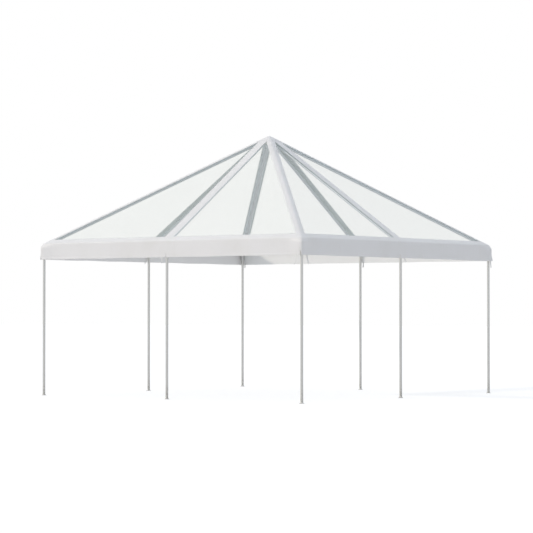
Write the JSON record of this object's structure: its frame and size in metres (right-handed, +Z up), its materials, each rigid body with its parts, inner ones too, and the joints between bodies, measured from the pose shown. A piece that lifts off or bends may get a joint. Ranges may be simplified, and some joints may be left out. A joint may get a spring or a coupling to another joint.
{
  "type": "marquee tent",
  "caption": "Square frame marquee: a pyramid roof of white vinyl with clear triangular panels and a valance, on upright tube legs.",
  "frame": {"origin": "on the ground under the peak, level with the undersides of the feet", "axes": "+Z up; the front of the tent looks towards -Y"},
  "size_m": [6.1908, 6.1908, 4.9725],
  "materials": {
    "tube": "satin mill finish",
    "fitting": "zinc plated, dull",
    "white_vinyl": "smooth white vinyl-coated cloth",
    "clear_vinyl": "clear glossy film"
  },
  "bodies": {
    "root": {"leg_front_left": "tube", "leg_front_right": "tube", "leg_back_right": "tube", "leg_back_left": "tube", "leg_middle_front": "tube", "leg_middle_right": "tube", "leg_middle_back": "tube", "leg_middle_left": "tube", "eave_rail_front_left": "tube", "eave_rail_front_right": "tube", "eave_rail_right_front": "tube", "eave_rail_right_back": "tube", "eave_rail_back_left": "tube", "eave_rail_back_right": "tube", "eave_rail_left_front": "tube", "eave_rail_left_back": "tube", "hip_rafter_front_left": "tube", "hip_rafter_front_right": "tube", "hip_rafter_back_right": "tube", "hip_rafter_back_left": "tube", "middle_rafter_front": "tube", "middle_rafter_right": "tube", "middle_rafter_back": "tube", "middle_rafter_left": "tube", "corner_fitting_front_left": "fitting", "corner_fitting_front_right": "fitting", "corner_fitting_back_right": "fitting", "corner_fitting_back_left": "fitting", "side_fitting_front": "fitting", "side_fitting_right": "fitting", "side_fitting_back": "fitting", "side_fitting_left": "fitting", "crown": "fitting", "roof_front": "white_vinyl", "valance_front": "white_vinyl", "clear_sheet_front": "clear_vinyl", "roof_right": "white_vinyl", "valance_right": "white_vinyl", "clear_sheet_right": "clear_vinyl", "roof_back": "white_vinyl", "valance_back": "white_vinyl", "clear_sheet_back": "clear_vinyl", "roof_left": "white_vinyl", "valance_left": "white_vinyl", "clear_sheet_left": "clear_vinyl"}
  },
  "joints": []
}
